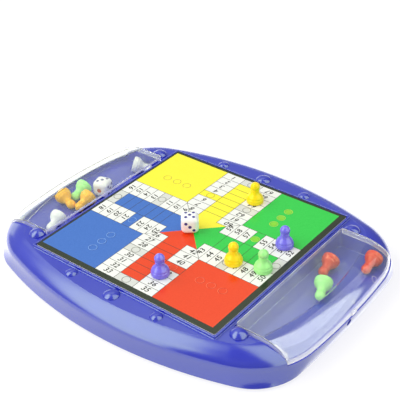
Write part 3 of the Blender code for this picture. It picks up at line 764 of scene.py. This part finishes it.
digits = []
for number, (x, y), quarter in numbers:
    text = fresh(bpy.ops.object.text_add)
    text.data.body = str(number)
    text.data.size = DIGIT_SIZE
    text.data.bevel_depth = DIGIT_WEIGHT
    text.data.bevel_resolution = 0
    text.data.shear = 0.16
    text.data.space_character = 1.05
    text.data.align_x = "CENTER"
    text.data.align_y = "CENTER"
    text.data.extrude = INK / 2
    text.data.resolution_u = 3
    only(text)
    bpy.ops.object.convert(target="MESH")
    turn = about(quarter * QUARTER, "Z")
    where = at(x, y, CARD_Z + 3.5 * INK) @ turn @ Matrix.Diagonal((1.0, 1.0, 0.1, 1.0))
    digits.append(placed(bpy.context.object, where))
figures = merged("board_numbers", digits)
number_ink = flat_finish("print_number", (30, 28, 26), (44, 42, 38))
paint(figures, number_ink)

# Each circle is drawn as one or two thin rings of ink, each set a little to the side: (ink, step to the
# right). The red and blue circles are printed outlines drawn twice, a lighter ring to the left as painted
# highlight and a darker ring to the right as painted shade of the circle's edge in relief.
ring_inks = {
    "dark_grey": flat_finish("ring_dark_grey", (118, 120, 110), (136, 138, 128)),
    "dark_red": flat_finish("ring_dark_red", (196, 44, 22), (208, 52, 28)),
    "light_red": flat_finish("ring_light_red", (252, 104, 56), (255, 118, 70)),
    "olive": flat_finish("ring_olive", (176, 160, 40), (190, 174, 52)),
    "lime_edge": flat_finish("ring_lime", (170, 206, 44), (184, 216, 62)),
    "light_blue": flat_finish("ring_light_blue", (106, 154, 220), (118, 166, 228)),
    "deep_blue": flat_finish("ring_deep_blue", (40, 72, 150), (48, 82, 164)),
}
# Red and blue: the lighter ink, to the left, is painted highlight, and the darker ink, to the right, is
# painted shade.
RING_STEPS = {
    "grey": (("dark_grey", 0.0),), "red": (("light_red", -0.0002), ("dark_red", 0.0001)),
    "green": (("lime_edge", 0.0),), "yellow": (("olive", 0.0002),),
    "blue": (("deep_blue", 0.0003), ("light_blue", -0.0001)),
}
rings = []
for (x, y), kind in circles:
    for layer, (ink, step) in enumerate(RING_STEPS[kind]):
        ring = fresh(bpy.ops.mesh.primitive_torus_add, major_segments=40, minor_segments=6,
                     major_radius=CIRCLE_RADIUS, minor_radius=CIRCLE_LINE)
        where = at(x + step, y, CARD_Z + (2.5 + layer) * INK)
        placed(ring, where @ Matrix.Diagonal((1, 1, 0.2, 1)))
        paint(ring, *ring_inks.values())
        for face in ring.data.polygons:
            face.material_index = list(ring_inks).index(ink)
        rings.append(ring)
yard_rings = merged("board_circles", rings)
spots = [(arc_points(Vector(place), CIRCLE_RADIUS * SPOT_SHARE, 0, math.tau, 32), 0)
         for place, kind in circles if kind == "green"]
yard_spots = print_sheet("board_spots", spots, CARD_Z + 2 * INK, [inks["lime"]])
for piece in (card, fields, rules, figures, yard_rings, yard_spots):
    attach(piece, "case")
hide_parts("board_card")


# Clear lids. Each is one thin clear moulding: a flat panel that folds along a bowed line into a
# curved front, with a thick rim, short end walls and a low lip at the hinge side. It turns on two
# moulded pins in the bosses.
LID_HALF = 0.0700
LID_X = 0.0913
LID_TOP_Z = 0.0280
LID_RIM_TOP_Z = 0.0171
LID_RIM_LOW_Z = 0.0145
LID_WALL = 0.0012
LID_START = math.radians(12)
END_DEPTH = 0.0050
LID_CORNER = 0.0032
HINGE_LIP_Z = 0.0262
LID_DRAFT = 0.0004
LID_EASE = 0.0003
LID_RIM_INSET = 0.0011
LID_PIN_RADIUS, LID_PIN_ROOT, LID_PIN_LENGTH = 0.0010, 0.0004, 0.0035
GRIP_SIZE = (0.0015, 0.0060, 0.0026)
GRIP_SUNK, GRIP_Y = 0.0006, 0.0015


def outline_x(points, y):
    """Where an outline's right side lies at a distance from the middle line."""
    right = [point for point in points if point[0] > 0]
    for (x0, y0), (x1, y1) in zip(right, right[1:]):
        if (y0 - y) * (y1 - y) <= 0 and y0 != y1:
            return x0 + (x1 - x0) * (y - y0) / (y1 - y0)
    return max(point[0] for point in right)


fold_line = barrel(CREASE_HALF, CREASE_ARCS, 0.0, (40, 40, 40))
rim_line = barrel(RIM_HALF, RIM_ARCS, 0.0, (40, 40, 40))


def lid_section(y, inset):
    """Skin of a lid in section: the flat panel, the curved front down to the rim, and the rim's face."""
    inner = LID_X + inset
    past = abs(y) - (LID_HALF - LID_CORNER)
    if past > 0:
        inner += LID_CORNER - math.sqrt(max(LID_CORNER ** 2 - past ** 2, 0.0))
    top = LID_TOP_Z - inset
    fold = outline_x(fold_line, y)
    rim_x = outline_x(rim_line, y) - LID_RIM_INSET - inset
    points = [(inner + (fold - inner) * share, top) for share in (0, 0.02, 0.1, 0.3, 0.5, 0.7, 0.9)]
    points += [(fold - BEAD_WIDTH, top), (fold - BEAD_WIDTH / 3, top + BEAD_HEIGHT)]
    return points + [(fold + (rim_x - fold) * out, LID_RIM_TOP_Z - inset + (top - LID_RIM_TOP_Z + inset) * up)
                     for out, up in oval_shares(LID_START, 20)]


def lid_stations():
    """Places along a lid, closer together at its rounded ends."""
    straight = LID_HALF - LID_CORNER
    ends = [straight + LID_CORNER * math.sin(QUARTER * step / 6) for step in range(7)]
    middle = [-straight + 2 * straight * step / 36 for step in range(1, 36)]
    return [-y for y in reversed(ends)] + middle + ends


def lid_solid():
    """The lid's outer form, hollowed from below, with the lip left at its hinge side."""
    rings = []
    for y in lid_stations():
        skin = lid_section(y, 0.0)
        foot = (skin[-1][0] + LID_DRAFT, LID_RIM_LOW_Z)
        under = [(x, max(z - END_DEPTH, LID_RIM_LOW_Z)) for x, z in reversed(skin[:-1])]
        rings.append([(x, y, z) for x, z in skin + [foot] + under])
    block = loft("lid", rings)
    rings = []
    inner_half = LID_HALF - LID_WALL
    places = [y for y in lid_stations() if abs(y) < inner_half - 0.0001]
    for y in [-inner_half] + places + [inner_half]:
        skin = lid_section(y, LID_WALL)
        low = LID_RIM_LOW_Z - OVERRUN
        lip, past = skin[0][0], skin[0][0] - 2 * OVERRUN
        foot = [(skin[-1][0], low), (past, low), (past, HINGE_LIP_Z), (lip, HINGE_LIP_Z)]
        rings.append([(x, y, z) for x, z in skin + foot])
    boolean(block, loft("lid_space", rings))
    return block


lid = lid_solid()
for sy in (1, -1):
    pin = cylinder(LID_PIN_RADIUS, -LID_PIN_ROOT, LID_PIN_LENGTH, steps=32)
    turn = about(-sy * QUARTER, "X")
    boolean(lid, placed(pin, at(PIN_X, sy * LID_HALF, PIN_Z) @ turn), "UNION")
grip = fresh(bpy.ops.mesh.primitive_cube_add, size=1.0)
grip.scale = GRIP_SIZE
grip_x = RIM_HALF[0] - LID_RIM_INSET + GRIP_SIZE[0] / 2 - GRIP_SUNK
grip.location = (grip_x, GRIP_Y, LID_RIM_LOW_Z + GRIP_SIZE[2] / 2)
boolean(lid, settle(grip), "UNION")
modified(lid, "BEVEL", width=LID_EASE, segments=2, limit_method="ANGLE", angle_limit=math.radians(40))


def on_fold(co):
    return abs(co.z - LID_TOP_Z) < 0.00001 and abs(co.x - outline_x(fold_line, co.y)) < 0.00003


finish_smooth(lid, 35, on_fold)


def clear_finish(name, colour, transmission, roughness, haze):
    """Clear moulded plastic, which lets soft light through to what lies under it."""
    material, tree, shader = new_material(name)
    moulded_surface(tree, shader, in_Roughness=roughness, in_Haze=haze)
    path = node(tree, "ShaderNodeLightPath")
    indirect = math_node(tree, "MAXIMUM", path.outputs["Is Shadow Ray"], path.outputs["Is Diffuse Ray"])
    passed = math_node(tree, "MULTIPLY", indirect, 0.97)
    set_inputs(shader, Base_Color=colour, Transmission_Weight=transmission, IOR=1.49, Coat_Weight=0.5,
               Coat_Roughness=0.02, Alpha=math_node(tree, "SUBTRACT", 1.0, passed))
    return material


clear_plastic = clear_finish("clear_lid", (0.97, 0.985, 0.95, 1.0), 1.0, 0.02, 0.02)
# Rougher, half-clear finish with a whitish base for the rim band, the end walls' edges and the small marks:
# the whitish part is painted highlight, the light that thick clear edges gather.
clear_edge_painted_highlight = clear_finish("clear_lid_edge_painted_highlight", (0.95, 0.965, 0.98, 1.0), 0.5, 0.14, 0.1)
# Partly whitish finish for the end walls: painted highlight of the light caught in the walls.
clear_end_painted_highlight = clear_finish("clear_lid_end_painted_highlight", (0.96, 0.975, 0.97, 1.0), 0.78, 0.1, 0.06)
# Opaque white for the hinge face of the clear lid: painted highlight.
clear_hinge_painted_highlight = clear_finish("clear_lid_hinge_painted_highlight", (1.0, 1.0, 1.0, 1.0), 0.0, 0.2, 0.1)
paint(lid, clear_plastic, clear_edge_painted_highlight, clear_end_painted_highlight, clear_hinge_painted_highlight)
# Rim band, end-wall edges and hinge face take the whitish finishes, which paint their highlights.
for face in lid.data.polygons:
    middle, normal = face.center, face.normal
    at_rim = middle.x > outline_x(rim_line, middle.y) - 0.0030 and middle.z < LID_RIM_TOP_Z + 0.0002
    at_end = abs(middle.y) > LID_HALF - LID_WALL - 0.0001
    at_end_edge = at_end and (normal.z < -0.35 or 0.3 < normal.z < 0.95)
    at_hinge = normal.x < -0.5 and middle.x < LID_X + LID_CORNER
    if at_hinge:
        face.material_index = 3
    elif at_rim or at_end_edge:
        face.material_index = 1
    elif at_end and abs(normal.y) > 0.35:
        face.material_index = 2

# Small round marks that the mould's gate and ejector pins leave on the slope and on the front end wall, in
# the whitish edge finish, which paints a glint on each: place, lean about X and Y in degrees, and radius.
marks = []
for x, y, z, lean_x, lean_y, radius in (
        (0.1390, 0.0360, 0.02105, 0, 52, 0.0024), (0.1395, 0.0050, 0.0206, 0, 56, 0.0012),
        (0.1320, -0.0696, 0.0222, 84, 12, 0.0021), (0.1320, -0.0696, 0.0222, 84, 12, 0.0012)):
    mark = fresh(bpy.ops.mesh.primitive_torus_add, major_segments=32, minor_segments=8, major_radius=radius,
                 minor_radius=0.00016)
    lean = about(math.radians(lean_y), "Y") @ about(math.radians(lean_x), "X")
    marks.append(placed(mark, at(x, y, z) @ lean))
mould_marks = merged("lid_marks", marks)
# The whitish edge finish on the marks is a painted glint.
paint(mould_marks, clear_edge_painted_highlight)
finish_smooth(mould_marks)

for side, turn in (("right", 0), ("left", math.pi)):
    spots = placed(copy_of(mould_marks, f"lid_{side}_marks"), about(turn, "Z"))
    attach(spots, f"lid_{side}")
    piece = placed(copy_of(lid, f"lid_{side}_clear"), about(turn, "Z"))
    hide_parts(f"lid_{side}")
    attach(piece, f"lid_{side}")
discard(lid)
discard(mould_marks)


# Pawns. Small turned-looking mouldings in glossy coloured plastic: a flanged foot, a bell-shaped
# skirt, a ring under the neck and a round head. Five stand on the board and eight lie in the
# compartments, where foot flange and head rest on the floor.
PAWN_RADIUS = 0.0070
PAWN_HEIGHT = 0.0182
HEAD_RADIUS = 0.0039
COLLAR_RADIUS, COLLAR_ROUND = 0.00350, 0.00036
RIM_SHARE = 0.20
HEAD_Z = PAWN_HEIGHT - HEAD_RADIUS

profile = [(0.0, 0.0022), (0.0044, 0.0022), (0.0056, 0.0002), (0.0058, 0.0)]
profile += [(0.00640, 0.0), (0.00680, 0.00030), (0.0070, 0.0009), (0.0070, 0.0032), (0.00692, 0.0036)]
profile += [(0.0067, 0.0040), (0.00645, 0.0043), (0.00632, 0.00455), (0.0063, 0.0048), (0.00632, 0.0050)]
profile += [(0.00628, 0.0053), (0.00608, 0.0057), (0.00577, 0.00615), (0.00535, 0.00665), (0.0049, 0.00715)]
profile += [(0.00445, 0.00765), (0.00405, 0.00815), (0.00372, 0.0087), (0.00348, 0.0093), (0.00332, 0.0099)]
profile += [(0.00322, 0.01035)]
for ring_z in (0.0109, 0.0117):
    profile += round_profile((COLLAR_RADIUS - COLLAR_ROUND, ring_z), COLLAR_ROUND, COLLAR_ROUND, -70, 70, 6)
profile += [(0.00310, 0.01215)]
start = -math.degrees(math.acos(0.00305 / HEAD_RADIUS))
profile += round_profile((0.0, HEAD_Z), HEAD_RADIUS, HEAD_RADIUS, start, 90, 18)[1:-1] + [(0.0, PAWN_HEIGHT)]
pawn = spun("pawn", profile, 56)
finish_smooth(pawn, 40)

pawn_paints = {
    "yellow": moulded_plastic("pawn_yellow_gloss", (252, 216, 4), (255, 228, 24), 0.3),
    "orange": moulded_plastic("pawn_orange_gloss", (255, 180, 14), (255, 194, 28), 0.3),
    "green": moulded_plastic("pawn_green_gloss", (156, 246, 138), (172, 251, 156), 0.3),
    "violet": moulded_plastic("pawn_violet_gloss", (114, 102, 230), (128, 116, 240), 0.22, gloss=1.6),
    "red": moulded_plastic("pawn_red_gloss", (212, 32, 22), (226, 44, 32), 0.26),
    "white": moulded_plastic("pawn_white_gloss", (236, 240, 236), (245, 248, 245), 0.28),
}
tilt_run = PAWN_HEIGHT * (1 - RIM_SHARE) - HEAD_RADIUS
tilt = math.acos(HEAD_RADIUS / math.hypot(PAWN_RADIUS, tilt_run)) - math.atan2(tilt_run, PAWN_RADIUS)
lying_z = TRAY_Z + GAP + PAWN_RADIUS * math.cos(tilt) + PAWN_HEIGHT * RIM_SHARE * math.sin(tilt)

# Places on the card, and places and headings in degrees of the pawns that lie in a compartment.
standing = {
    "pawn_yellow_rear": (0.01548, 0.06037), "pawn_yellow_front": (0.04954, -0.01514),
    "pawn_green_board": (0.07224, -0.00946), "pawn_violet_right": (0.06828, 0.02442),
    "pawn_violet_left": (0.01496, -0.05796),
}
lying = {
    "pawn_red_inner": (0.09909, 0.04341, -86), "pawn_green_right": (0.10828, 0.01740, -70),
    "pawn_red_outer": (0.12380, 0.06529, -88), "pawn_white_front": (-0.10988, -0.03840, -78),
    "pawn_orange_outer": (-0.13146, -0.01520, -12), "pawn_orange_inner": (-0.11040, -0.00240, -87),
    "pawn_green_left": (-0.12465, 0.00681, -86), "pawn_white_rear": (-0.11453, 0.05740, 30),
}
pawn_places = {name: at(x, y, CARD_Z + GAP) for name, (x, y) in standing.items()}
for name, (x, y, heading) in lying.items():
    lean = about(math.radians(heading), "Z") @ about(QUARTER + tilt, "Y")
    pawn_places[name] = at(x, y, lying_z) @ lean
for name, where in pawn_places.items():
    colour = name.split("_")[1]
    piece = placed(copy_of(pawn, name + "_piece"), where)
    paint(piece, pawn_paints[colour])
    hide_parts(name)
    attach(piece, name)
discard(pawn)


# Dice. Solid white plastic cubes with well rounded edges; their spots are shallow hollows with a
# coat of dark violet paint, and a single spot is larger and red.
DIE_SIDE = 0.0140
DIE_ROUND = 0.0038
SPOT_RADIUS, SINGLE_SPOT_RADIUS = 0.00155, 0.0022
SPOT_PITCH = 0.0031
die = fresh(bpy.ops.mesh.primitive_cube_add, size=DIE_SIDE)
die.name = "die"
modified(die, "BEVEL", width=DIE_ROUND, segments=8)
die_white = moulded_plastic("die_white_gloss", (242, 244, 242), (250, 251, 249), 0.25)
spot_violet = moulded_plastic("die_spot_violet", (44, 30, 118), (58, 42, 138), 0.35)
spot_red = moulded_plastic("die_spot_red", (180, 30, 24), (196, 40, 32), 0.35)
paint(die, die_white, spot_violet, spot_red)
SPOTS = {
    1: [(0, 0)], 2: [(-1, 1), (1, -1)], 3: [(-1, 1), (0, 0), (1, -1)],
    4: [(-1, -1), (-1, 1), (1, -1), (1, 1)], 5: [(-1, -1), (-1, 1), (1, -1), (1, 1), (0, 0)],
    6: [(-1, -1), (-1, 0), (-1, 1), (1, -1), (1, 0), (1, 1)],
}
up = Matrix.Identity(4)
turns = {
    5: up, 2: about(math.pi, "X"), 3: about(QUARTER, "X"),
    4: about(-QUARTER, "X"), 1: about(QUARTER, "Y"),
    6: about(-QUARTER, "Y"),
}
for count, turn in turns.items():
    for u, v in SPOTS[count]:
        radius = SINGLE_SPOT_RADIUS if count == 1 else SPOT_RADIUS
        spot = fresh(bpy.ops.mesh.primitive_uv_sphere_add, segments=24, ring_count=12, radius=radius)
        paint(spot, spot_red if count == 1 else spot_violet)
        lift = at(u * SPOT_PITCH, v * SPOT_PITCH, DIE_SIDE / 2 + radius * 0.25)
        placed(spot, turn @ lift @ Matrix.Diagonal((1, 1, 0.55, 1)))
        boolean(die, spot, keep_paint=True)
finish_smooth(die, 35)
die_spots = {
    "die_board": (-0.00258, -0.00138, CARD_Z, 39, up),
    "die_tray": (-0.11157, 0.01460, TRAY_Z, 16,
                 about(-QUARTER, "Z") @ about(-QUARTER, "X")),
}
for name, (x, y, floor_z, heading, roll) in die_spots.items():
    where = at(x, y, floor_z + GAP + DIE_SIDE / 2)
    turn = about(math.radians(heading), "Z")
    piece = placed(copy_of(die, name + "_piece"), where @ turn @ roll)
    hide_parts(name)
    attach(piece, name)
discard(die)


# Floor, light and camera. The case stands on a plain white table in soft studio light. Three lamps light
# it, and its glossy plastic mirrors lit panels, which are drawn in the world.
WORLD_LIGHT = 0.42
MIRRORED_LIGHT = (0.94, 1.0, 0.80, 1.0)


def by_ray(tree, **levels):
    """A strength for each kind of ray that reaches a surface of the studio."""
    path = node(tree, "ShaderNodeLightPath")
    total = 0.0
    for kind, level in levels.items():
        part = math_node(tree, "MULTIPLY", path.outputs[f"Is {kind} Ray"], level)
        total = math_node(tree, "MAXIMUM", total, part)
    return total


floor_white, floor_tree, floor_shader = new_material("floor_white")
floor_glow = by_ray(floor_tree, Camera=0.77, Transmission=0.77, Glossy=1.8, Diffuse=0.4)
set_inputs(floor_shader, Roughness=0.9, Specular_IOR_Level=0.0, Base_Color=(0.26, 0.255, 0.265, 1.0),
           Emission_Color=(1.0, 1.0, 1.0, 1.0), Emission_Strength=floor_glow)
floor = fresh(bpy.ops.mesh.primitive_plane_add, size=12.0, location=(0, 0, -0.0002))
floor.name = "floor"
paint(floor, floor_white)

if bpy.context.scene.world is None:
    bpy.context.scene.world = bpy.data.worlds.new("studio")
world = bpy.context.scene.world
world.use_nodes = True
world_tree = world.node_tree
sky = world_tree.nodes["Background"]
heading = node(world_tree, "ShaderNodeTexCoord").outputs["Generated"]


def toward(azimuth, elevation):
    """The direction at an azimuth from the rear, clockwise, and an elevation, in degrees."""
    around, level = math.radians(azimuth), math.radians(elevation)
    return Vector((math.sin(around) * math.cos(level), math.cos(around) * math.cos(level), math.sin(level)))


def share_beyond(direction, low, high):
    """0 to 1 across the sky, as the angle to a direction closes."""
    along = node(world_tree, "ShaderNodeVectorMath", operation="DOT_PRODUCT")
    feed(along.inputs[0], heading)
    feed(along.inputs[1], direction)
    ramp = node(world_tree, "ShaderNodeMapRange", interpolation_type="SMOOTHSTEP",
                in_Value=along.outputs["Value"], in_From_Min=low, in_From_Max=high)
    return ramp.outputs["Result"]


def softbox(corners, radiance):
    """A lit panel in mirrors; each corner is (azimuth, elevation, softness of the side after it)."""
    points = [toward(*corner[:2]) for corner in corners]
    middle = sum(points, Vector())
    lit = radiance
    for start, end, corner in zip(points, points[1:] + points[:1], corners):
        inward = start.cross(end).normalized()
        inward *= math.copysign(1, inward.dot(middle))
        lit = math_node(world_tree, "MULTIPLY", lit, share_beyond(inward, -corner[2], corner[2]))
    return lit


# Glossy surfaces mirror a dim room, paler at the left, with two large panels and two small ones at the left.
room = math_node(world_tree, "MULTIPLY", share_beyond(toward(-90, 0), 0.15, 0.40), 0.3)
mirrored = math_node(world_tree, "ADD", room, 0.3)
for panel in (
        softbox(((-157, -5, 0.05), (-168, -12, 0.05), (-172, 66, 0.05), (-90, 75, 0.05), (-52, 69, 0.05),
                 (-63, 48, 0.15)), 5.2),
        softbox(((-41, 60, 0.04), (25, 37, 0.04), (50, -3, 0.05), (115, -3, 0.05), (107, 70, 0.05)), 3.8),
        softbox(((-82, -5, 0.05), (-47, -5, 0.05), (-47, 19, 0.05), (-82, 19, 0.05)), 2.2),
        softbox(((-78, 36, 0.07), (-28, 36, 0.07), (-28, 54, 0.07), (-78, 54, 0.07)), 1.5)):
    mirrored = math_node(world_tree, "MAXIMUM", mirrored, panel)
is_glossy = node(world_tree, "ShaderNodeLightPath").outputs["Is Glossy Ray"]
tint = node(world_tree, "ShaderNodeMix", data_type="RGBA", in_Factor=is_glossy, in_A=(1.0, 1.0, 1.0, 1.0),
            in_B=MIRRORED_LIGHT)
sky_light = by_ray(world_tree, Camera=1.0, Transmission=1.0, Diffuse=WORLD_LIGHT, Glossy=mirrored)
set_inputs(sky, Color=tint.outputs["Result"], Strength=sky_light)


def lamp(name, azimuth, elevation, size, radiance):
    """A soft lamp 2 m away, which lights the scene but isn't mirrored."""
    out = toward(azimuth, elevation)
    light = fresh(bpy.ops.object.light_add, type="AREA", location=out * 2)
    light.name = name
    light.data.shape = "RECTANGLE"
    light.data.size, light.data.size_y = size
    light.data.energy = 4 * size[0] * size[1] * radiance
    light.rotation_euler = out.to_track_quat("Z", "Y").to_euler()
    light.visible_camera = False
    light.visible_glossy = False


lamp("front_lamp", -125, 45, (3.0, 1.5), 2.1)
lamp("rear_lamp", 30, 50, (1.2, 1.2), 1.3)
lamp("fill_lamp", 141, 40, (2.0, 1.4), 1.1)

AZIMUTH, ELEVATION, ROLL = math.radians(39.034), math.radians(33.67), math.radians(-1.56)
DISTANCE, LENS = 0.75638, 83.43
AIM = Vector((-0.02227, 0.03609, 0.0270))
back = Vector((math.sin(AZIMUTH) * math.cos(ELEVATION), -math.cos(AZIMUTH) * math.cos(ELEVATION),
               math.sin(ELEVATION)))
camera = fresh(bpy.ops.object.camera_add, location=AIM + back * DISTANCE)
camera.rotation_euler = (back.to_track_quat("Z", "Y").to_matrix() @ Matrix.Rotation(ROLL, 3, "Z")).to_euler()
camera.data.sensor_width = 36.0
camera.data.lens = LENS
camera.data.clip_start = 0.01
bpy.context.scene.camera = camera
bpy.context.scene.view_settings.view_transform = "Standard"
